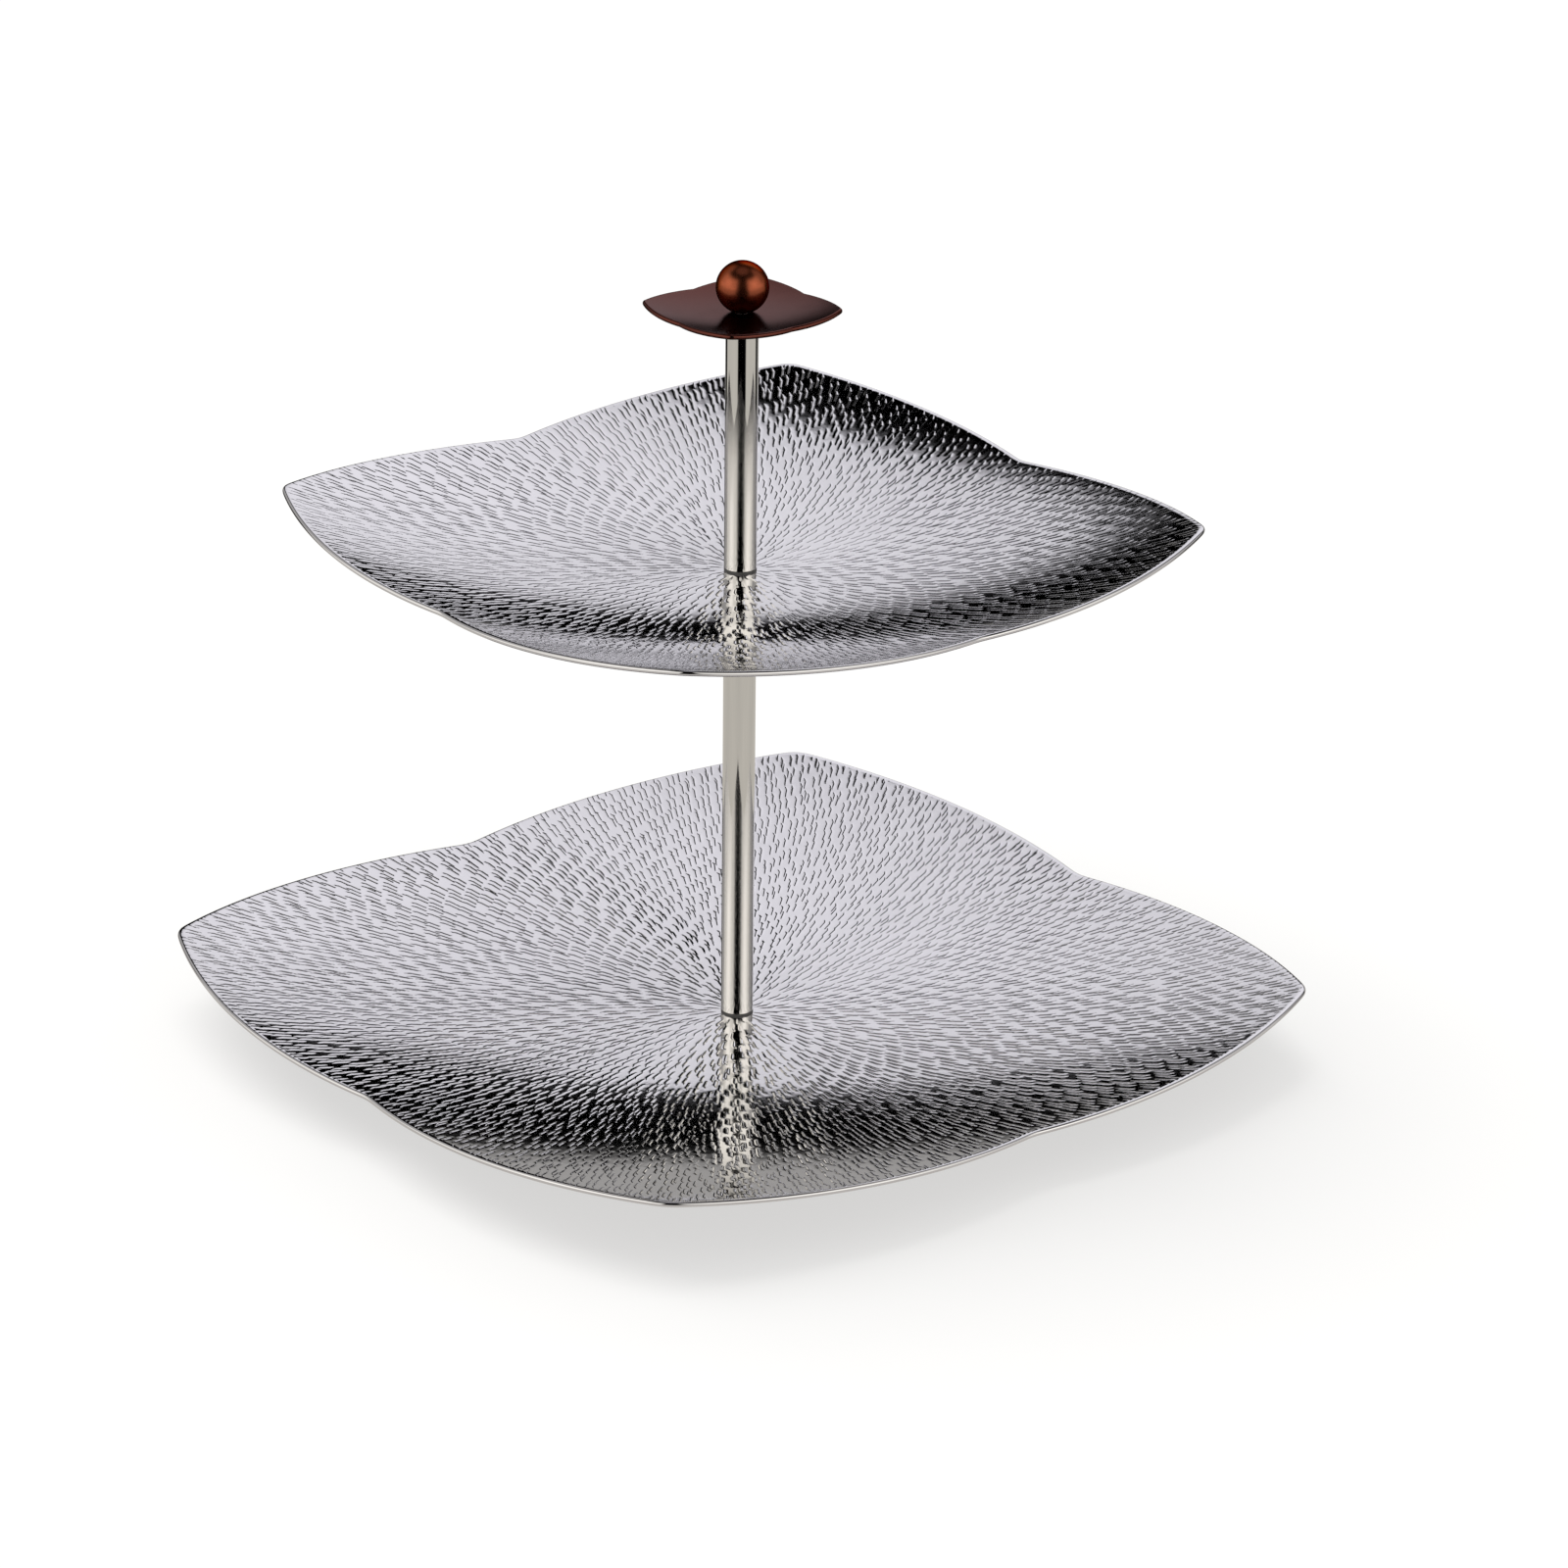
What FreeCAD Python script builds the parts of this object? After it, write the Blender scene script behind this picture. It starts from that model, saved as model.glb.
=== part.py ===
import FreeCAD, Part
import math
import os

# Two-tier cake stand: two dished petal-shaped trays on a slim tube post, with a small petal
# plate and a ball knob on top. Everything is stacked along one upright axis, +Z up, with the
# origin on that axis at the surface that the feet rest on. The trays' corners point along X
# and Y. All sizes are in millimetres.

Vector = FreeCAD.Vector
UP = Vector(0, 0, 1)
ORIGIN = Vector(0, 0, 0)

# ---- driving dimensions ----

# The petal outline, as shares of the half diagonal, which runs from the centre to a corner's tip
NOTCH_SHARE = 0.797         # centre to the small notch in the middle of each side
SIDE_BULGE_SHARE = 0.060    # rise of each arc between a tip and a notch over its chord
TIP_ROUND_SHARE = 0.090
NOTCH_ROUND_SHARE = 0.025

LOWER_HALF_DIAGONAL = 212.4
LOWER_RISE = 21.3           # upper surface at a tip over the flat centre
LOWER_FLAT_RADIUS = 32.0

UPPER_HALF_DIAGONAL = 168.9
UPPER_RISE = 24.5
UPPER_FLAT_RADIUS = 26.0

TRAY_THICKNESS = 2.0
TRAY_EDGE_ROUND = 0.9

PLATE_HALF_DIAGONAL = 36.2
PLATE_RISE = 2.8
PLATE_FLAT_RADIUS = 8.0
PLATE_THICKNESS = 1.8
PLATE_EDGE_ROUND = 0.8

TIER_SPACING = 175.5        # lower tray's upper surface to upper tray's upper surface
HANDLE_SPACING = 98.0       # upper tray's upper surface to handle plate's upper surface

TUBE_RADIUS = 6.0
TUBE_WALL = 1.0
TUBE_END_ROUND = 0.4
PLUG_LENGTH = 12.0
SEAT_WASHER_THICKNESS = 0.6

SCREW_RADIUS = 3.0          # M6
THREAD_GAP = 0.05           # round a screw in the threaded hole that it turns in
PASSAGE_GAP = 0.15          # round a screw in a plain hole that it passes through
THREAD_IN_PLUG = 10.0

BALL_RADIUS = 9.65
BALL_FLAT_DEPTH = 0.4       # cut off the ball where it sits on the plate
BALL_HOLE_DEPTH = 9.0
CLIP_OUTER_RADIUS = 4.6
CLIP_THICKNESS = 0.5
CLIP_MOUTH = 4.2
GROOVE_RADIUS = 2.5
CLIP_GAP = 0.05             # round the stud's groove, and over and under the clip in it

BASE_PAD_RADIUS = 12.0
BASE_PAD_THICKNESS = 1.0
BASE_WASHER_RADIUS = 9.0
BASE_WASHER_THICKNESS = 1.0
SPRING_WASHER_RADIUS = 5.4
SPRING_WASHER_THICKNESS = 1.2
SPRING_WASHER_SPLIT = 1.0
SCREW_HEAD_RADIUS = 6.0
SCREW_HEAD_HEIGHT = 3.2
SCREW_HEAD_RIM = 1.4        # height of the straight part under the head's dome
SOCKET_ACROSS_FLATS = 4.0
SOCKET_DEPTH = 2.0

FOOT_HEIGHT = 9.0           # resting surface to the underside of the lower tray's flat centre
FOOT_RING_RADIUS = 62.0
FOOT_TOP_RADIUS = 8.5
FOOT_BOTTOM_RADIUS = 7.0
FOOT_EDGE_ROUND = 1.2

# ---- heights up the post, and radii of its holes ----

LOWER_TRAY_TOP = FOOT_HEIGHT + TRAY_THICKNESS
UPPER_TRAY_TOP = LOWER_TRAY_TOP + TIER_SPACING
UPPER_TRAY_BOTTOM = UPPER_TRAY_TOP - TRAY_THICKNESS
PLATE_TOP = UPPER_TRAY_TOP + HANDLE_SPACING
PLATE_BOTTOM = PLATE_TOP - PLATE_THICKNESS

LOWER_TUBE_BOTTOM = LOWER_TRAY_TOP + SEAT_WASHER_THICKNESS
LOWER_TUBE_TOP = UPPER_TRAY_BOTTOM - SEAT_WASHER_THICKNESS
UPPER_TUBE_BOTTOM = UPPER_TRAY_TOP + SEAT_WASHER_THICKNESS
UPPER_TUBE_TOP = PLATE_BOTTOM - SEAT_WASHER_THICKNESS

BASE_PAD_BOTTOM = FOOT_HEIGHT - BASE_PAD_THICKNESS
BASE_WASHER_BOTTOM = BASE_PAD_BOTTOM - BASE_WASHER_THICKNESS
SCREW_HEAD_TOP = BASE_WASHER_BOTTOM - SPRING_WASHER_THICKNESS
SCREW_HEAD_BOTTOM = SCREW_HEAD_TOP - SCREW_HEAD_HEIGHT

TUBE_BORE = TUBE_RADIUS - TUBE_WALL
PASSAGE_RADIUS = SCREW_RADIUS + PASSAGE_GAP
THREAD_HOLE_RADIUS = SCREW_RADIUS + THREAD_GAP


# ---- shapes that several pieces share ----

def cylinder(radius, bottom, top):
    return Part.makeCylinder(radius, top - bottom, Vector(0, 0, bottom), UP)


def ring(outer_radius, inner_radius, bottom, top):
    return cylinder(outer_radius, bottom, top).cut(cylinder(inner_radius, bottom, top))


def circles_of(solid, radius):
    """The solid's circular edges of this radius."""
    return [
        edge for edge in solid.Edges
        if isinstance(edge.Curve, Part.Circle) and abs(edge.Curve.Radius - radius) < 1e-6
    ]


def line(start, end):
    """A straight profile edge, between two (radius, height) places."""
    return Part.makeLine(Vector(start[0], 0, start[1]), Vector(end[0], 0, end[1]))


def arc(start, middle, end):
    """An arc of a profile, through three (radius, height) places."""
    places = [Vector(radius, 0, height) for radius, height in (start, middle, end)]
    return Part.Arc(*places).toShape()


def turned(edges):
    """The solid that a closed profile sweeps round the post's axis."""
    return Part.Face(Part.Wire(edges)).revolve(ORIGIN, UP, 360)


def petal_prism(half_diagonal, bottom, top):
    """An upright block with the petal outline: four blunt tips, each side two bulging arcs."""
    notch_radius = half_diagonal * NOTCH_SHARE
    corners = []
    for eighth in range(9):
        radius = notch_radius if eighth % 2 else half_diagonal
        angle = math.radians(45 * eighth)
        corners.append(Vector(radius * math.cos(angle), radius * math.sin(angle), bottom))
    sides = []
    for start, end in zip(corners, corners[1:]):
        along = end - start
        outward = Vector(along.y, -along.x, 0).normalize()
        middle = (start + end) * 0.5 + outward * (half_diagonal * SIDE_BULGE_SHARE)
        sides.append(Part.Arc(start, middle, end).toShape())
    prism = Part.Face(Part.Wire(sides)).extrude(UP * (top - bottom))
    for corner_radius, share in (
        (half_diagonal, TIP_ROUND_SHARE),
        (notch_radius, NOTCH_ROUND_SHARE),
    ):
        upright = []
        for edge in prism.Edges:
            start, end = (vertex.Point for vertex in edge.Vertexes)
            at_corner = abs(math.hypot(start.x, start.y) - corner_radius) < 1e-3
            if at_corner and abs(start.z - end.z) > 1e-3:
                upright.append(edge)
        prism = prism.makeFillet(half_diagonal * share, upright)
    return prism


def dish_arc(half_diagonal, flat_radius, rise):
    """Radius of the upper surface's bend, and the angle that it turns through up to a tip."""
    run = half_diagonal - flat_radius
    radius = (run ** 2 + rise ** 2) / (2 * rise)
    return radius, math.asin(run / radius)


def dished_sheet(half_diagonal, flat_radius, rise, thickness, top):
    """A round sheet of even thickness: flat in the middle, then one bend up to past the tips."""
    radius, tip_angle = dish_arc(half_diagonal, flat_radius, rise)
    rim_angle = tip_angle * 1.03

    def on_bend(bend_radius, angle):
        across = flat_radius + bend_radius * math.sin(angle)
        return across, top + radius - bend_radius * math.cos(angle)

    under = radius + thickness
    return turned([
        line((0, top), (flat_radius, top)),
        arc((flat_radius, top), on_bend(radius, rim_angle / 2), on_bend(radius, rim_angle)),
        line(on_bend(radius, rim_angle), on_bend(under, rim_angle)),
        arc(on_bend(under, rim_angle), on_bend(under, rim_angle / 2), on_bend(under, 0)),
        line(on_bend(under, 0), (0, top - thickness)),
        line((0, top - thickness), (0, top)),
    ])


def petal_dish(half_diagonal, flat_radius, rise, thickness, edge_round, top):
    """A dished sheet cut to the petal outline, with a rounded rim and a hole for a screw."""
    sheet = dished_sheet(half_diagonal, flat_radius, rise, thickness, top)
    prism = petal_prism(half_diagonal, top - 2 * thickness, top + rise + 2 * thickness)
    dish = sheet.common(prism).Solids[0]
    rim = []
    for face in dish.Faces:
        if isinstance(face.Surface, Part.SurfaceOfRevolution):
            rim += [
                edge for edge in face.Edges
                if not edge.isSeam(face) and not isinstance(edge.Curve, Part.Circle)
            ]
    dish = dish.makeFillet(edge_round, rim).Solids[0]
    return dish.cut(cylinder(PASSAGE_RADIUS, top - 2 * thickness, top + thickness))


# ---- the trays and their feet ----

def lower_tray():
    return petal_dish(
        LOWER_HALF_DIAGONAL, LOWER_FLAT_RADIUS, LOWER_RISE,
        TRAY_THICKNESS, TRAY_EDGE_ROUND, LOWER_TRAY_TOP,
    )


def upper_tray():
    return petal_dish(
        UPPER_HALF_DIAGONAL, UPPER_FLAT_RADIUS, UPPER_RISE,
        TRAY_THICKNESS, TRAY_EDGE_ROUND, UPPER_TRAY_TOP,
    )


def foot(direction):
    """A rubber foot whose top is shaped to the tray's underside. Direction is in degrees."""
    angle = math.radians(direction)
    place = Vector(math.cos(angle), math.sin(angle), 0) * FOOT_RING_RADIUS
    height = FOOT_HEIGHT + TRAY_THICKNESS
    block = Part.makeCone(FOOT_BOTTOM_RADIUS, FOOT_TOP_RADIUS, height, place, UP)
    block = block.makeFillet(FOOT_EDGE_ROUND, circles_of(block, FOOT_BOTTOM_RADIUS))
    tray_and_above = dished_sheet(
        LOWER_HALF_DIAGONAL, LOWER_FLAT_RADIUS, LOWER_RISE,
        2 * TRAY_THICKNESS, LOWER_TRAY_TOP + TRAY_THICKNESS,
    )
    return block.cut(tray_and_above)


# ---- the post ----

def tube(bottom, top):
    body = ring(TUBE_RADIUS, TUBE_BORE, bottom, top)
    return body.makeFillet(TUBE_END_ROUND, circles_of(body, TUBE_RADIUS))


def threaded_plug(bottom):
    body = ring(TUBE_BORE, THREAD_HOLE_RADIUS, bottom, bottom + PLUG_LENGTH)
    return body.makeChamfer(TUBE_END_ROUND, circles_of(body, THREAD_HOLE_RADIUS))


def seat_washer(bottom):
    return ring(TUBE_RADIUS, PASSAGE_RADIUS, bottom, bottom + SEAT_WASHER_THICKNESS)


def joining_stud():
    bottom = LOWER_TUBE_TOP - THREAD_IN_PLUG
    body = cylinder(SCREW_RADIUS, bottom, UPPER_TUBE_BOTTOM + THREAD_IN_PLUG)
    return body.makeChamfer(TUBE_END_ROUND, circles_of(body, SCREW_RADIUS))


# ---- what clamps the post to the lower tray, from the top down ----

def base_pad():
    body = ring(BASE_PAD_RADIUS, PASSAGE_RADIUS, BASE_PAD_BOTTOM, FOOT_HEIGHT)
    return body.makeFillet(BASE_PAD_THICKNESS / 3, circles_of(body, BASE_PAD_RADIUS))


def base_washer():
    return ring(BASE_WASHER_RADIUS, PASSAGE_RADIUS, BASE_WASHER_BOTTOM, BASE_PAD_BOTTOM)


def base_spring_washer():
    body = ring(SPRING_WASHER_RADIUS, PASSAGE_RADIUS, SCREW_HEAD_TOP, BASE_WASHER_BOTTOM)
    split = Part.makeBox(
        SPRING_WASHER_RADIUS, SPRING_WASHER_SPLIT, SPRING_WASHER_THICKNESS,
        Vector(0, -SPRING_WASHER_SPLIT / 2, SCREW_HEAD_TOP),
    )
    return body.cut(split)


def base_screw():
    """A button-headed screw with a hexagonal socket, from under the base up into the tube."""
    rim = SCREW_HEAD_TOP - SCREW_HEAD_RIM
    shoulder = SCREW_HEAD_RADIUS * 0.82
    head = turned([
        line((0, SCREW_HEAD_TOP), (SCREW_HEAD_RADIUS, SCREW_HEAD_TOP)),
        line((SCREW_HEAD_RADIUS, SCREW_HEAD_TOP), (SCREW_HEAD_RADIUS, rim)),
        arc(
            (SCREW_HEAD_RADIUS, rim),
            (shoulder, rim - (rim - SCREW_HEAD_BOTTOM) * 0.62),
            (SCREW_HEAD_RADIUS / 2, SCREW_HEAD_BOTTOM),
        ),
        line((SCREW_HEAD_RADIUS / 2, SCREW_HEAD_BOTTOM), (0, SCREW_HEAD_BOTTOM)),
        line((0, SCREW_HEAD_BOTTOM), (0, SCREW_HEAD_TOP)),
    ])
    shank = cylinder(SCREW_RADIUS, SCREW_HEAD_TOP, LOWER_TUBE_BOTTOM + THREAD_IN_PLUG)
    corner_radius = SOCKET_ACROSS_FLATS / math.sqrt(3)
    corners = []
    for side in range(7):
        angle = math.radians(60 * side)
        corners.append(Vector(
            corner_radius * math.cos(angle), corner_radius * math.sin(angle), SCREW_HEAD_BOTTOM,
        ))
    socket = Part.Face(Part.makePolygon(corners)).extrude(UP * SOCKET_DEPTH)
    return head.fuse(shank).cut(socket).removeSplitter()


# ---- the handle: a plate that the knob clamps on the tube's top end ----

def handle_plate():
    return petal_dish(
        PLATE_HALF_DIAGONAL, PLATE_FLAT_RADIUS, PLATE_RISE,
        PLATE_THICKNESS, PLATE_EDGE_ROUND, PLATE_TOP,
    )


def handle_seat_ring():
    """Sits on the tube's wall only, round the clip."""
    inner_radius = CLIP_OUTER_RADIUS + 2 * PASSAGE_GAP
    return ring(TUBE_RADIUS, inner_radius, UPPER_TUBE_TOP, PLATE_BOTTOM)


def retaining_clip():
    """An open ring in the stud's groove, so that the plate lifts away with the knob."""
    body = ring(
        CLIP_OUTER_RADIUS, GROOVE_RADIUS + CLIP_GAP, PLATE_BOTTOM - CLIP_THICKNESS, PLATE_BOTTOM,
    )
    mouth = Part.makeBox(
        CLIP_OUTER_RADIUS, CLIP_MOUTH, CLIP_THICKNESS,
        Vector(0, -CLIP_MOUTH / 2, PLATE_BOTTOM - CLIP_THICKNESS),
    )
    return body.cut(mouth)


def knob_stud():
    bottom = UPPER_TUBE_TOP - THREAD_IN_PLUG
    top = PLATE_TOP + BALL_HOLE_DEPTH - TUBE_END_ROUND
    body = cylinder(SCREW_RADIUS, bottom, top)
    body = body.makeChamfer(TUBE_END_ROUND, circles_of(body, SCREW_RADIUS))
    groove_bottom = PLATE_BOTTOM - CLIP_THICKNESS - CLIP_GAP
    groove_top = PLATE_BOTTOM + CLIP_GAP
    return body.cut(ring(2 * SCREW_RADIUS, GROOVE_RADIUS, groove_bottom, groove_top))


def knob_ball():
    centre_height = PLATE_TOP + BALL_RADIUS - BALL_FLAT_DEPTH
    ball = Part.makeSphere(BALL_RADIUS, Vector(0, 0, centre_height), UP)
    above_plate = cylinder(2 * BALL_RADIUS, PLATE_TOP, centre_height + 2 * BALL_RADIUS)
    hole = cylinder(THREAD_HOLE_RADIUS, PLATE_TOP, PLATE_TOP + BALL_HOLE_DEPTH)
    return ball.common(above_plate).cut(hole)


# ---- every piece, one file each ----

pieces = {
    "lower_tray": lower_tray(),
    "upper_tray": upper_tray(),
    "front_foot": foot(-90),
    "right_foot": foot(0),
    "back_foot": foot(90),
    "left_foot": foot(180),
    "base_pad": base_pad(),
    "base_washer": base_washer(),
    "base_spring_washer": base_spring_washer(),
    "base_screw": base_screw(),
    "lower_seat_washer": seat_washer(LOWER_TRAY_TOP),
    "lower_tube": tube(LOWER_TUBE_BOTTOM, LOWER_TUBE_TOP),
    "lower_tube_bottom_plug": threaded_plug(LOWER_TUBE_BOTTOM),
    "lower_tube_top_plug": threaded_plug(LOWER_TUBE_TOP - PLUG_LENGTH),
    "under_tray_washer": seat_washer(LOWER_TUBE_TOP),
    "joining_stud": joining_stud(),
    "upper_seat_washer": seat_washer(UPPER_TRAY_TOP),
    "upper_tube": tube(UPPER_TUBE_BOTTOM, UPPER_TUBE_TOP),
    "upper_tube_bottom_plug": threaded_plug(UPPER_TUBE_BOTTOM),
    "upper_tube_top_plug": threaded_plug(UPPER_TUBE_TOP - PLUG_LENGTH),
    "handle_seat_ring": handle_seat_ring(),
    "handle_plate": handle_plate(),
    "retaining_clip": retaining_clip(),
    "knob_stud": knob_stud(),
    "knob_ball": knob_ball(),
}

os.makedirs("parts", exist_ok=True)
for name, shape in pieces.items():
    shape.exportStep(f"parts/{name}.step")
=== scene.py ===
"""The two-tier cake stand's looks: hammered mirror-polished trays on a polished post, with a
lacquered handle plate and ball, on a white studio floor. Everything is in metres."""

import math

import bmesh
import bpy
import numpy as np
from mathutils import Matrix, Vector


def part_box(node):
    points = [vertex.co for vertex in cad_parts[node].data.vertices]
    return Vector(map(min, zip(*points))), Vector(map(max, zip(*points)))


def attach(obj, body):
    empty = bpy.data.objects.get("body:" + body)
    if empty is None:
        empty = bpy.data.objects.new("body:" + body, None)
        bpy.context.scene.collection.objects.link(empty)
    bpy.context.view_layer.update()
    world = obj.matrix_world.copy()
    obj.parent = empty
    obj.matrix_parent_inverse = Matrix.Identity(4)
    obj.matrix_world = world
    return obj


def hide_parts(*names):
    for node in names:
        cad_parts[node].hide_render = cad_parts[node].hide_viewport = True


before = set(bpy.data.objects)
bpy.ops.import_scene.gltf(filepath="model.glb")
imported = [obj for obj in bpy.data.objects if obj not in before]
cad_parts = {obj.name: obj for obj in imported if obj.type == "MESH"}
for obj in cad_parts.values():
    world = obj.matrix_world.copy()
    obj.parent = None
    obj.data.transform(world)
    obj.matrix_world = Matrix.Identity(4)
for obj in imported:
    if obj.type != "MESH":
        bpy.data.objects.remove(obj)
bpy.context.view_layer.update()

MM = 0.001

# ---- driving dimensions ----

NOTCH_SHARE = 0.797         # outline radius at a notch, as a share of its radius at a tip
SIDE_BULGE_SHARE = 0.060    # how far half a side bows outwards, as a share of the tip radius
CORNER_BLEND_ANGLE = 0.045  # radians that the blunting of a tip or notch reaches to each side

TRAYS = {
    # node: (body, radius at an unblunted tip, radius of the flat middle, rise of the rim)
    "lower_tray": ("base", 212.4 * MM, 32.0 * MM, 21.3 * MM),
    "upper_tray": ("upper_tier", 168.9 * MM, 26.0 * MM, 24.5 * MM),
}
TRAY_THICKNESS = 2.0 * MM
TRAY_HOLE_RADIUS = 3.15 * MM
SPOKES = 1680               # mesh points round a tray's rim; each zone further in has half
RING_SPACING = 1.7 * MM     # between mesh rings on the upper side
UNDERSIDE_STEPS = 36        # mesh rings on the plain underside
RIM_STEPS = 8               # mesh steps round the rim's half circle

STROKE_PITCH = 2.8 * MM     # from one hammered stroke to the next round a ring of them
STROKE_RING_STEP = 7.5 * MM
STROKE_WIDTH = 0.30         # of a stroke, as a share of the pitch
STROKE_REACH = 0.54         # half a stroke's length, in ring steps
STROKE_TAPER = 0.26         # length of a stroke's fading end, in ring steps
STROKE_HOOK = 1.1           # how sharply its outer end bends aside
STROKE_HOOK_FROM = 0.2      # where the bend starts, in ring steps out from its middle
STROKE_HOLLOW = 0.30        # height of the hollows' edges between the strokes, beside a crest
STROKE_STRAY_OUT = 0.85     # how far they stray outwards and inwards, in ring steps
STROKE_STRAY_ASIDE = 0.45   # and to each side, as a share of the pitch
STROKE_DEPTH = 0.18 * MM
STROKES_FROM = 6.0 * MM     # radius at which the strokes start, beyond the post
STROKES_FADE_IN = 2.0 * MM
STROKES_FADE_OUT = 2.5 * MM  # before the rim
MESH_SHARE = 0.25           # share of the strokes' depth in the mesh; the rest is in the bump
RIPPLE_SHARE = 0.10         # depth of the polish's fine ripple beside the strokes' depth

# Fractions whose multiples spread evenly between whole numbers
GOLDEN = 0.618034
SPREAD_A = 0.754877
SPREAD_B = 0.569840

CAMERA_AZIMUTH = math.radians(5.94)
CAMERA_ELEVATION = math.radians(21.93)
CAMERA_ROLL = math.radians(0.60)
CAMERA_DISTANCE = 2.3842
CAMERA_AIM_HEIGHT = 0.1023
CAMERA_AIM_RIGHT = 0.0167
CAMERA_LENS = 148.5
CAMERA_SENSOR = 36.0


# ---- numbers that a material's nodes work out ----

class Signal:
    """A number that varies over a surface. Arithmetic on it adds Math nodes to its tree."""

    def __init__(self, tree, socket):
        self.tree = tree
        self.socket = socket

    def math(self, operation, *others):
        node = self.tree.nodes.new("ShaderNodeMath")
        node.operation = operation
        for place, value in enumerate((self, *others)):
            if isinstance(value, Signal):
                self.tree.links.new(value.socket, node.inputs[place])
            else:
                node.inputs[place].default_value = value
        return Signal(self.tree, node.outputs[0])

    def __add__(self, other):
        return self.math("ADD", other)

    def __sub__(self, other):
        return self.math("SUBTRACT", other)

    def __mul__(self, other):
        return self.math("MULTIPLY", other)

    def __truediv__(self, other):
        return self.math("DIVIDE", other)

    __radd__ = __add__
    __rmul__ = __mul__

    def __rsub__(self, other):
        return self * -1 + other


def floor(value):
    return value.math("FLOOR") if isinstance(value, Signal) else np.floor(value)


def fraction(value):
    return value - floor(value)


def higher_of(value, other):
    if isinstance(value, Signal):
        return value.math("MAXIMUM", other)
    return np.maximum(value, other)


def absolute(value):
    return value.math("ABSOLUTE") if isinstance(value, Signal) else np.abs(value)


def limited(value):
    """The value kept within 0 to 1."""
    if isinstance(value, Signal):
        return value.math("MAXIMUM", 0).math("MINIMUM", 1)
    return np.clip(value, 0, 1)


# ---- the hammered strokes: one description for the mesh and for the bump ----

def stroke_height(radius, angle):
    """Height over the hollows between the strokes, as a share of the tallest crests."""
    turn = angle / (2 * math.pi)
    ring_here = floor(radius / STROKE_RING_STEP)
    tallest = 0.0
    for step in (-1, 0, 1):
        ring = ring_here + step
        count = floor(2 * math.pi * STROKE_RING_STEP / STROKE_PITCH * (ring + 0.5))
        count = higher_of(count, 3)
        place = fraction(turn + ring * GOLDEN) * count
        stroke = floor(place)
        stray_out = fraction(stroke * SPREAD_A + ring * SPREAD_B) - 0.5
        stray_aside = fraction(stroke * SPREAD_B + ring * SPREAD_A) - 0.5
        along = radius / STROKE_RING_STEP - ring - 0.5 - stray_out * STROKE_STRAY_OUT
        hook = higher_of(along - STROKE_HOOK_FROM, 0) * STROKE_HOOK
        aside = place - stroke - 0.5 - stray_aside * STROKE_STRAY_ASIDE - hook
        beside = absolute(aside) * 2
        reach = limited((STROKE_REACH - absolute(along)) / STROKE_TAPER)
        crest = limited(1 - beside / STROKE_WIDTH)
        hollow = limited(1 - beside)
        height = (crest * (1 - STROKE_HOLLOW) + hollow * hollow * STROKE_HOLLOW) * reach
        tallest = higher_of(height, tallest)
    return tallest


# ---- the trays ----

def petal_outline(tip_radius, count):
    """Outline points round the petal shape, evenly spaced in angle, as x and y arrays."""
    angles = np.arange(count) * 2 * math.pi / count
    eighth = math.pi / 4
    tip = np.array([tip_radius, 0])
    notch = tip_radius * NOTCH_SHARE * np.array([math.cos(eighth), math.sin(eighth)])
    chord = notch - tip
    half_chord = np.hypot(*chord) / 2
    bulge = tip_radius * SIDE_BULGE_SHARE
    bend_radius = (half_chord ** 2 + bulge ** 2) / (2 * bulge)
    outward = np.array([chord[1], -chord[0]]) / (2 * half_chord)
    centre = (tip + notch) / 2 - outward * (bend_radius - bulge)
    from_tip = eighth - np.abs(angles % (2 * eighth) - eighth)
    ahead = centre[0] * np.cos(from_tip) + centre[1] * np.sin(from_tip)
    radii = ahead + np.sqrt(ahead ** 2 + bend_radius ** 2 - centre @ centre)
    reach = round(CORNER_BLEND_ANGLE * count / (2 * math.pi))
    weights = np.hanning(2 * reach + 1)
    around = np.concatenate([radii[-reach:], radii, radii[:reach]])
    radii = np.convolve(around, weights / weights.sum(), "valid")
    return radii * np.cos(angles), radii * np.sin(angles)


def dish_height(radius, tip_radius, flat_radius, rise, drop=0.0):
    """Height of the dish over its flat middle; drop is how far under the upper side."""
    run = tip_radius - flat_radius
    bend = (run ** 2 + rise ** 2) / (2 * rise)
    beyond = np.maximum(radius - flat_radius, 0)
    return bend - np.sqrt((bend + drop) ** 2 - beyond ** 2)


def strip_faces(inner, outer):
    """Faces between two closed rings of points; one ring may have twice the other's count."""
    if len(inner) > len(outer):
        return [face[::-1] for face in strip_faces(outer, inner)]
    faces = []
    ratio = len(outer) // len(inner)
    for i, start in enumerate(inner):
        end = inner[(i + 1) % len(inner)]
        if ratio == 1:
            faces.append((start, outer[i], outer[(i + 1) % len(outer)], end))
        else:
            first, middle = outer[2 * i], outer[2 * i + 1]
            last = outer[(2 * i + 2) % len(outer)]
            faces += [(start, first, middle), (start, middle, end), (end, middle, last)]
    return faces


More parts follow.
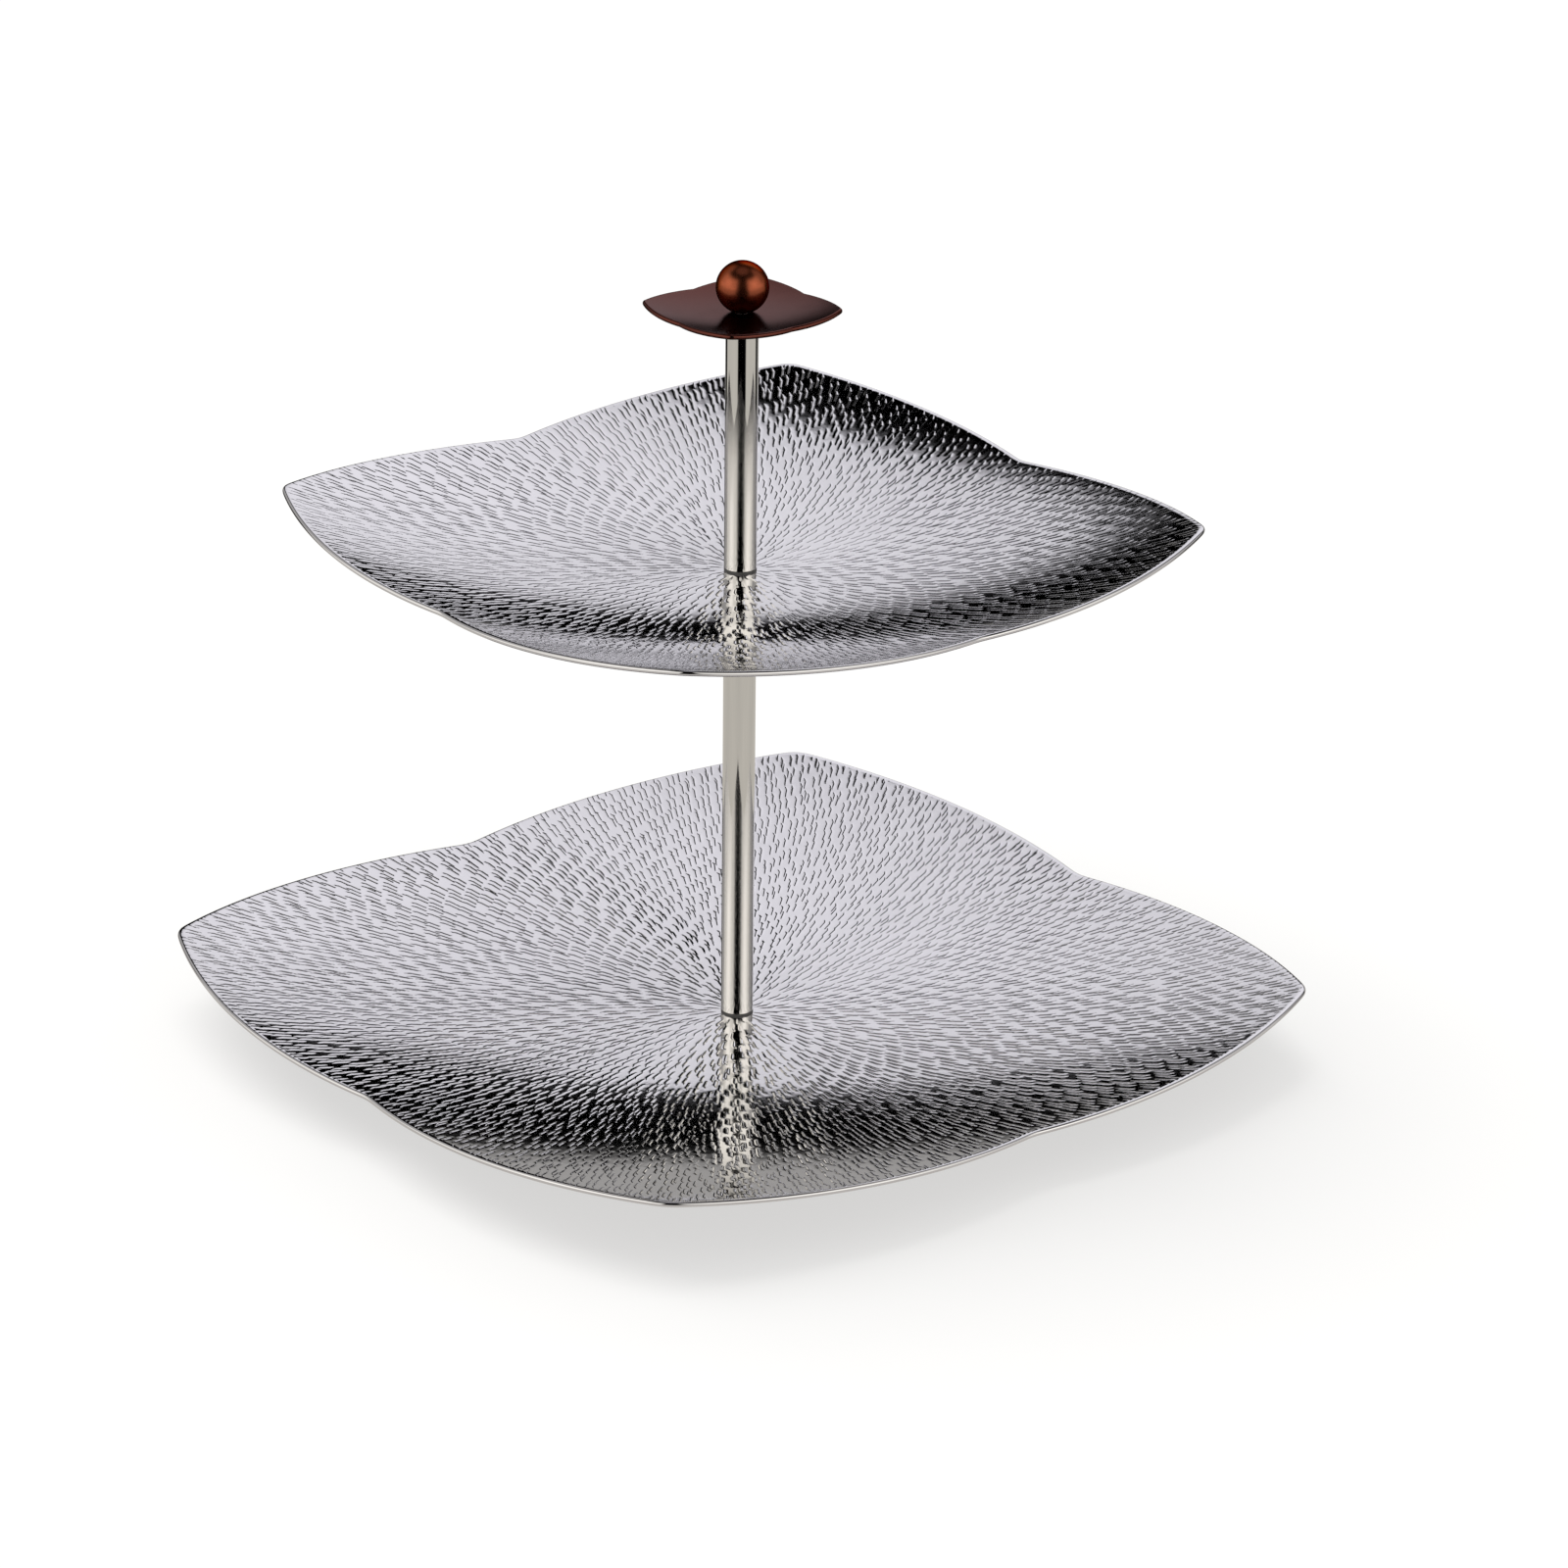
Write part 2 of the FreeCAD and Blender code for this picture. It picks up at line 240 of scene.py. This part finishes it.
def hammered_tray(node):
    """A tray's full mesh: the struck upper side, the rounded rim and the plain underside."""
    body, tip_radius, flat_radius, rise = TRAYS[node]
    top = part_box(node)[0].z + TRAY_THICKNESS
    rim_round = TRAY_THICKNESS / 2
    outline_x, outline_y = petal_outline(tip_radius, SPOKES)
    along_x = np.roll(outline_x, -1) - np.roll(outline_x, 1)
    along_y = np.roll(outline_y, -1) - np.roll(outline_y, 1)
    length = np.hypot(along_x, along_y)
    out_x, out_y = along_y / length, -along_x / length
    edge_x, edge_y = outline_x - out_x * rim_round, outline_y - out_y * rim_round

    rings = []

    def add_ring(x, y, z, struck):
        """A ring of places, with how fully the strokes are hammered in at each, in 0 to 1."""
        rings.append(np.column_stack([x, y, z, struck]))

    def side_ring(share, halvings, under=0.0):
        """A ring at this share of the way out, on the upper side or this far under it."""
        pick = slice(None, None, 2 ** halvings)
        radius_here = np.hypot(edge_x[pick], edge_y[pick])
        scale = (TRAY_HOLE_RADIUS + share * (radius_here - TRAY_HOLE_RADIUS)) / radius_here
        x, y = edge_x[pick] * scale, edge_y[pick] * scale
        radius = np.hypot(x, y)
        z = top + dish_height(radius, tip_radius, flat_radius, rise, under)
        if under:
            struck = radius * 0
        else:
            struck = limited((radius - STROKES_FROM) / STROKES_FADE_IN)
            struck = struck * limited((radius_here - radius) / STROKES_FADE_OUT)
            height = stroke_height(radius, np.arctan2(y, x)) - 1
            z = z + height * struck * STROKE_DEPTH * MESH_SHARE
        add_ring(x, y, z, struck)

    steps = round(tip_radius / RING_SPACING)
    for step in range(steps + 1):
        share = step / steps
        side_ring(share, (share < 0.5) + (share < 0.25) + (share < 0.125))
    edge_radius = np.hypot(edge_x, edge_y)
    edge_z = top + dish_height(edge_radius, tip_radius, flat_radius, rise)
    for turn in np.linspace(0, math.pi, RIM_STEPS + 1)[1:-1]:
        outwards = rim_round * math.sin(turn)
        lower = rim_round * (1 - math.cos(turn))
        x, y = edge_x + out_x * outwards, edge_y + out_y * outwards
        add_ring(x, y, edge_z - lower, x * 0)
    for step in range(UNDERSIDE_STEPS + 1):
        side_ring(1 - step / UNDERSIDE_STEPS, min(step, 3), TRAY_THICKNESS)

    places = np.concatenate(rings)
    starts = np.cumsum([0] + [len(ring) for ring in rings])
    names = [list(range(a, b)) for a, b in zip(starts, starts[1:])]
    faces = []
    for inner, outer in zip(names, names[1:] + names[:1]):
        faces += strip_faces(inner, outer)
    mesh = bpy.data.meshes.new(node + "_hammered")
    mesh.from_pydata(places[:, :3].tolist(), [], faces)
    mesh.shade_smooth()
    mesh.attributes.new("struck", "FLOAT", "POINT").data.foreach_set("value", places[:, 3])
    piece = bpy.data.objects.new(node + "_hammered", mesh)
    bpy.context.scene.collection.objects.link(piece)
    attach(piece, body)
    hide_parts(node)
    return piece


# ---- materials ----

def new_material(name, **sockets):
    """A material whose surface shader has these uniform values, by socket name."""
    material = bpy.data.materials.new(name)
    material.use_nodes = True
    shader = material.node_tree.nodes["Principled BSDF"]
    for socket, value in sockets.items():
        shader.inputs[socket.replace("_", " ")].default_value = value
    return material, material.node_tree, shader


def place_signals(tree):
    """The x, y and z of a place on the object, in metres."""
    where = tree.nodes.new("ShaderNodeTexCoord")
    split = tree.nodes.new("ShaderNodeSeparateXYZ")
    tree.links.new(where.outputs["Object"], split.inputs[0])
    return [Signal(tree, output) for output in split.outputs]


def noise_signal(tree, scale, stretch=(1, 1, 1), detail=3.0):
    """Noise in 0 to 1 with this many grains per metre, stretched along an axis by a share."""
    where = tree.nodes.new("ShaderNodeTexCoord")
    mapping = tree.nodes.new("ShaderNodeMapping")
    mapping.inputs["Scale"].default_value = stretch
    noise = tree.nodes.new("ShaderNodeTexNoise")
    noise.inputs["Scale"].default_value = scale
    noise.inputs["Detail"].default_value = detail
    tree.links.new(where.outputs["Object"], mapping.inputs["Vector"])
    tree.links.new(mapping.outputs["Vector"], noise.inputs["Vector"])
    return Signal(tree, noise.outputs["Fac"])


def set_roughness(tree, shader, signal, low, high):
    value = signal * (high - low) + low
    tree.links.new(value.socket, shader.inputs["Roughness"])


def set_colour(tree, shader, signal, first, second):
    """The base colour runs from the first to the second as the signal runs from 0 to 1."""
    ramp = tree.nodes.new("ShaderNodeMix")
    ramp.data_type = "RGBA"
    ramp.inputs["A"].default_value = (*first, 1)
    ramp.inputs["B"].default_value = (*second, 1)
    tree.links.new(signal.socket, ramp.inputs["Factor"])
    tree.links.new(ramp.outputs["Result"], shader.inputs["Base Color"])


def set_bump(tree, shader, height, depth):
    """Bumps the surface by a height signal of 0 to 1, depth metres deep."""
    bump = tree.nodes.new("ShaderNodeBump")
    bump.inputs["Distance"].default_value = depth
    tree.links.new(height.socket, bump.inputs["Height"])
    tree.links.new(bump.outputs["Normal"], shader.inputs["Normal"])


def hammered_steel():
    """Mirror-polished steel with the strokes' crisp share as bump."""
    material, tree, shader = new_material("hammered_steel", Metallic=1.0)
    x, y, z = place_signals(tree)
    radius = (x * x + y * y).math("SQRT")
    struck = tree.nodes.new("ShaderNodeAttribute")
    struck.attribute_name = "struck"
    strokes = stroke_height(radius, y.math("ARCTAN2", x)) * Signal(tree, struck.outputs["Fac"])
    ripple = noise_signal(tree, 260, detail=2.0)
    height = strokes * (1 - MESH_SHARE) + ripple * RIPPLE_SHARE
    set_bump(tree, shader, height, STROKE_DEPTH)
    haze = noise_signal(tree, 35)
    set_roughness(tree, shader, haze, 0.04, 0.09)
    set_colour(tree, shader, haze, (0.76, 0.75, 0.77), (0.70, 0.69, 0.71))
    return material


def polished_tube():
    """Mirror-polished tube with streaks of drawing along it."""
    material, tree, shader = new_material("polished_tube", Metallic=1.0)
    streaks = noise_signal(tree, 12, stretch=(30, 30, 1))
    set_roughness(tree, shader, streaks, 0.03, 0.08)
    set_colour(tree, shader, streaks, (0.86, 0.84, 0.80), (0.64, 0.63, 0.61))
    set_bump(tree, shader, streaks, 0.004 * MM)
    return material


def grained(name, grains, roughness, colours, depth, **sockets):
    """A material with a fine grain, which runs from the first to the second of each pair."""
    material, tree, shader = new_material(name, **sockets)
    grain = noise_signal(tree, grains)
    set_roughness(tree, shader, grain, *roughness)
    set_colour(tree, shader, grain, *colours)
    set_bump(tree, shader, grain, depth)
    return material


def satin_lacquer(name, deep, bright, edge, smooth, rough):
    """Metallic lacquer: fine flakes, and an edge tint for where it is seen at a slant."""
    material, tree, shader = new_material(name, Metallic=1.0, Specular_Tint=(*edge, 1))
    flakes = noise_signal(tree, 2600, detail=1.0)
    set_colour(tree, shader, flakes, deep, bright)
    clouds = noise_signal(tree, 120)
    set_roughness(tree, shader, clouds, smooth, rough)
    set_bump(tree, shader, flakes, 0.004 * MM)
    return material


def dress(node, material):
    """Gives a CAD node this material in place of its plain one."""
    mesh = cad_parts[node].data
    mesh.materials.clear()
    mesh.materials.append(material)


steel = hammered_steel()
for tray in TRAYS:
    hammered_tray(tray).data.materials.append(steel)

tube_steel = polished_tube()
for node in ("lower_tube", "upper_tube"):
    dress(node, tube_steel)

hardware = grained(
    "plated_hardware", 900, (0.22, 0.38), ((0.62, 0.62, 0.63), (0.48, 0.48, 0.50)),
    0.01 * MM, Metallic=1.0)
for node in ("base_washer", "base_spring_washer", "base_screw", "joining_stud", "knob_stud",
             "retaining_clip", "lower_tube_bottom_plug", "lower_tube_top_plug",
             "upper_tube_bottom_plug", "upper_tube_top_plug"):
    dress(node, hardware)

rubber = grained(
    "black_rubber", 1500, (0.65, 0.85), ((0.020, 0.020, 0.021), (0.034, 0.034, 0.035)),
    0.03 * MM, Specular_IOR_Level=0.35)
for node in ("front_foot", "right_foot", "back_foot", "left_foot", "base_pad"):
    dress(node, rubber)

# Seat washers of dark nylon; their dark colour is also painted shade, drawing the shaded seam
# where a tube meets a tray
seam_shade_nylon = grained(
    "dark_nylon", 1200, (0.45, 0.6), ((0.080, 0.077, 0.073), (0.110, 0.106, 0.100)),
    0.015 * MM, Specular_IOR_Level=0.4)
for node in ("lower_seat_washer", "upper_seat_washer", "under_tray_washer", "handle_seat_ring"):
    dress(node, seam_shade_nylon)

dress("handle_plate", satin_lacquer(
    "dark_brown_lacquer", (0.10, 0.030, 0.022), (0.14, 0.042, 0.032), (0.66, 0.66, 0.67),
    0.16, 0.24))
dress("knob_ball", satin_lacquer(
    "copper_brown_lacquer", (0.30, 0.076, 0.036), (0.40, 0.104, 0.052), (0.10, 0.04, 0.035),
    0.24, 0.30))


# ---- the studio ----

# The studio is painted inside a dome that only mirror-like surfaces see. Directions on it are
# azimuths from straight behind, to the right, and elevations, all in degrees.
DOME_RADIUS = 3.0
DOME_HEIGHT = 0.10          # its centre over the floor

SOFTBOX_MIDDLE = (4.4, 31.5)    # azimuth and elevation
SOFTBOX_LEFT = 17.3         # how far it reaches to each side of its middle
SOFTBOX_RIGHT = 34.0
SOFTBOX_HALF_HEIGHT = 21.0
SOFTBOX_EDGE = 0.12         # softness of its edge, as a share of its half size
SOFTBOX_LIGHT = (1.03, 1.02, 1.07)
SOFTBOX_FALL = 0.28         # how much dimmer it is at the edge

PANELS = (
    # azimuth from, to, softness of those edges, elevation from, to, softness, colour
    (82, 150, 12, 6, 46, 10, (0.98, 0.955, 0.885)),         # white panel to the right
    (198, 284, 12, 6, 46, 10, (0.98, 0.955, 0.885)),        # white panel to the left
    (48, 82, 16, 6, 60, 12, (0.45, 0.44, 0.43)),            # grey wall to the right
    (284, 328, 16, 6, 60, 12, (0.45, 0.44, 0.43)),          # grey wall to the left
    (64, 146, 6, -60, 12, 6, (0.60, 0.58, 0.54)),           # table to the right
    (202, 296, 6, -60, 12, 6, (0.60, 0.58, 0.54)),          # table to the left
    (102, 134, 16, 15, 36, 10, (0.50, 0.48, 0.46)),         # key light, front right
    (226, 258, 16, 15, 36, 10, (0.50, 0.48, 0.46)),         # key light, front left
    (0, 360, 4, 70, 95, 8, (0.24, 0.24, 0.25)),             # ceiling
)

# A board stands behind, nearer than the softbox: grey below, black above, its top edge higher
# to the left
BOARD_RADIUS = 1.45
BOARD_AZIMUTHS = (-34, 40)
BOARD_LEVELS = (-40, -20, 0)    # elevations of its rows of corners, under the row at its top
BOARD_TOP = 15.0
BOARD_TOP_BEND = 0.015      # times the square of the azimuth, to the left of straight behind
BOARD_TOP_LIMIT = 26
BOARD_GREY_TOP = 7.5
BOARD_GREY_TILT = 0.35      # lower by this much for each degree to the left
BOARD_GREY_EDGE = 3         # softness of the grey's upper edge
BOARD_GREY = (0.40, 0.39, 0.375)

TABLE_RADIUS = 0.60         # the pale table that reflections see under the stand
TABLE_GAP = 0.0005          # over the floor
TABLE_LIGHT = (0.60, 0.575, 0.535, 1)

FLOOR_HALF_SIZE = 15.0

SUN_AZIMUTH = -60           # as on the dome
SUN_ELEVATION = 62
SUN_STRENGTH = 2.0
SUN_SPREAD = 60


def white_world():
    world = bpy.data.worlds.new("white")
    world.use_nodes = True
    world.node_tree.nodes["Background"].inputs["Color"].default_value = (1, 1, 1, 1)
    bpy.context.scene.world = world


def coloured(tree, amount, colour, total):
    """Adds this colour, scaled by the amount, to the total so far; returns the new total."""
    scaled = tree.nodes.new("ShaderNodeVectorMath")
    scaled.operation = "SCALE"
    scaled.inputs[0].default_value = colour
    tree.links.new(amount.socket, scaled.inputs["Scale"])
    if total is None:
        return scaled.outputs[0]
    summed = tree.nodes.new("ShaderNodeVectorMath")
    summed.operation = "ADD"
    tree.links.new(total, summed.inputs[0])
    tree.links.new(scaled.outputs[0], summed.inputs[1])
    return summed.outputs[0]


def studio_light(tree):
    """The colour of the light that the studio sends from each place on the dome."""
    x, y, z = place_signals(tree)
    azimuth = x.math("ARCTAN2", y) * math.degrees(1)
    elevation = z.math("ARCTAN2", (x * x + y * y).math("SQRT")) * math.degrees(1)
    left = (SOFTBOX_MIDDLE[0] - azimuth) / SOFTBOX_LEFT
    right = (azimuth - SOFTBOX_MIDDLE[0]) / SOFTBOX_RIGHT
    aside = higher_of(left, right)
    above = absolute(elevation - SOFTBOX_MIDDLE[1]) / SOFTBOX_HALF_HEIGHT
    from_middle = (aside * aside + above * above).math("SQRT")
    inside = limited((1 - from_middle) / SOFTBOX_EDGE + 0.5)
    softbox = inside * (1 - from_middle * from_middle * SOFTBOX_FALL)
    colour = coloured(tree, softbox, SOFTBOX_LIGHT, None)
    for start, end, side_soft, low, high, soft, light in PANELS:
        middle, half_width = (start + end) / 2, (end - start) / 2
        turned = fraction((azimuth - middle + 540) / 360) * 360 - 180
        inside = (limited((half_width - absolute(turned)) / side_soft + 0.5)
                  * limited((elevation - low) / soft + 0.5)
                  * limited((high - elevation) / soft + 0.5))
        colour = coloured(tree, inside, light, colour)
    return colour


def board_light(tree):
    """The board's colour: grey below a slightly slanting line, black above it."""
    x, y, z = place_signals(tree)
    azimuth = x.math("ARCTAN2", y) * math.degrees(1)
    elevation = z.math("ARCTAN2", (x * x + y * y).math("SQRT")) * math.degrees(1)
    line = azimuth.math("MINIMUM", 0) * BOARD_GREY_TILT + BOARD_GREY_TOP
    return coloured(tree, limited((line - elevation) / BOARD_GREY_EDGE + 0.5), BOARD_GREY, None)


def table_light(tree):
    plain = tree.nodes.new("ShaderNodeRGB")
    plain.outputs[0].default_value = TABLE_LIGHT
    return plain.outputs[0]


def seen_by_mirrors_only(name, mesh, light):
    """A glowing thing of the studio that takes its colour from this function of its tree."""
    material = bpy.data.materials.new(name)
    material.use_nodes = True
    tree = material.node_tree
    tree.nodes.clear()
    glow = tree.nodes.new("ShaderNodeEmission")
    tree.links.new(light(tree), glow.inputs["Color"])
    output = tree.nodes.new("ShaderNodeOutputMaterial")
    tree.links.new(glow.outputs[0], output.inputs["Surface"])
    material.cycles.emission_sampling = "NONE"
    mesh.materials.append(material)
    thing = bpy.data.objects.new(name, mesh)
    thing.location.z = DOME_HEIGHT
    thing.visible_camera = False
    thing.visible_diffuse = False
    thing.visible_shadow = False
    bpy.context.scene.collection.objects.link(thing)


def studio_dome():
    """The studio's panels, on a dome round the stand."""
    shell = bmesh.new()
    bmesh.ops.create_uvsphere(shell, u_segments=120, v_segments=60, radius=DOME_RADIUS)
    mesh = bpy.data.meshes.new("studio_dome")
    shell.to_mesh(mesh)
    shell.free()
    seen_by_mirrors_only("studio_dome", mesh, studio_light)


def studio_board():
    """The board behind the stand, bent round it."""
    corners = []
    for azimuth in range(BOARD_AZIMUTHS[0], BOARD_AZIMUTHS[1] + 1):
        top = min(BOARD_TOP + BOARD_TOP_BEND * min(azimuth, 0) ** 2, BOARD_TOP_LIMIT)
        for elevation in (*BOARD_LEVELS, top):
            out = BOARD_RADIUS * math.cos(math.radians(elevation))
            corners.append((
                out * math.sin(math.radians(azimuth)),
                out * math.cos(math.radians(azimuth)),
                BOARD_RADIUS * math.sin(math.radians(elevation)),
            ))
    rows = len(BOARD_LEVELS) + 1
    faces = [
        (i, i + 1, i + rows + 1, i + rows)
        for i in range(len(corners) - rows) if i % rows < rows - 1
    ]
    mesh = bpy.data.meshes.new("studio_board")
    mesh.from_pydata(corners, [], faces)
    seen_by_mirrors_only("studio_board", mesh, board_light)


def white_floor():
    """A pale floor that glows a little, so that its shadows stay light."""
    reach = FLOOR_HALF_SIZE
    mesh = bpy.data.meshes.new("floor")
    corners = [(-reach, -reach, 0), (reach, -reach, 0), (reach, reach, 0), (-reach, reach, 0)]
    mesh.from_pydata(corners, [], [(0, 1, 2, 3)])
    floor_object = bpy.data.objects.new("floor", mesh)
    bpy.context.scene.collection.objects.link(floor_object)
    mesh.materials.append(new_material(
        "white_floor", Roughness=1.0, Specular_IOR_Level=0.0,
        Base_Color=(0.34, 0.336, 0.328, 1),
        Emission_Color=(1.0, 1.0, 1.0, 1), Emission_Strength=0.53,
    )[0])
    floor_object.visible_glossy = False


def mirrored_table():
    """A round pale table top under the stand."""
    corners = [
        (TABLE_RADIUS * math.cos(turn), TABLE_RADIUS * math.sin(turn), TABLE_GAP - DOME_HEIGHT)
        for turn in np.linspace(0, 2 * math.pi, 65)[:-1]
    ]
    mesh = bpy.data.meshes.new("mirrored_table")
    mesh.from_pydata(corners, [], [range(len(corners))])
    seen_by_mirrors_only("mirrored_table", mesh, table_light)


def soft_sun():
    """A very soft light from one side, seen by matt surfaces only."""
    lamp = bpy.data.lights.new("overhead", "SUN")
    lamp.energy = SUN_STRENGTH
    lamp.angle = math.radians(SUN_SPREAD)
    sun = bpy.data.objects.new("overhead", lamp)
    azimuth, elevation = math.radians(SUN_AZIMUTH), math.radians(SUN_ELEVATION)
    direction = Vector((
        math.sin(azimuth) * math.cos(elevation),
        math.cos(azimuth) * math.cos(elevation),
        math.sin(elevation),
    ))
    sun.rotation_mode = "QUATERNION"
    sun.rotation_quaternion = direction.to_track_quat("Z", "Y")
    sun.visible_glossy = False
    bpy.context.scene.collection.objects.link(sun)


def view_camera():
    camera = bpy.data.objects.new("camera", bpy.data.cameras.new("camera"))
    camera.data.lens = CAMERA_LENS
    camera.data.sensor_width = CAMERA_SENSOR
    camera.data.clip_start = 0.1
    camera.data.clip_end = 100
    turn = (
        Matrix.Rotation(CAMERA_AZIMUTH, 3, "Z")
        @ Matrix.Rotation(math.pi / 2 - CAMERA_ELEVATION, 3, "X")
    )
    aim = Vector((0, 0, CAMERA_AIM_HEIGHT)) + turn @ Vector((CAMERA_AIM_RIGHT, 0, 0))
    place = aim + turn @ Vector((0, 0, CAMERA_DISTANCE))
    turn = turn @ Matrix.Rotation(CAMERA_ROLL, 3, "Z")
    camera.matrix_world = Matrix.Translation(place) @ turn.to_4x4()
    bpy.context.scene.collection.objects.link(camera)
    bpy.context.scene.camera = camera


white_world()
studio_dome()
studio_board()
white_floor()
mirrored_table()
soft_sun()
view_camera()
bpy.context.scene.view_settings.view_transform = "Standard"
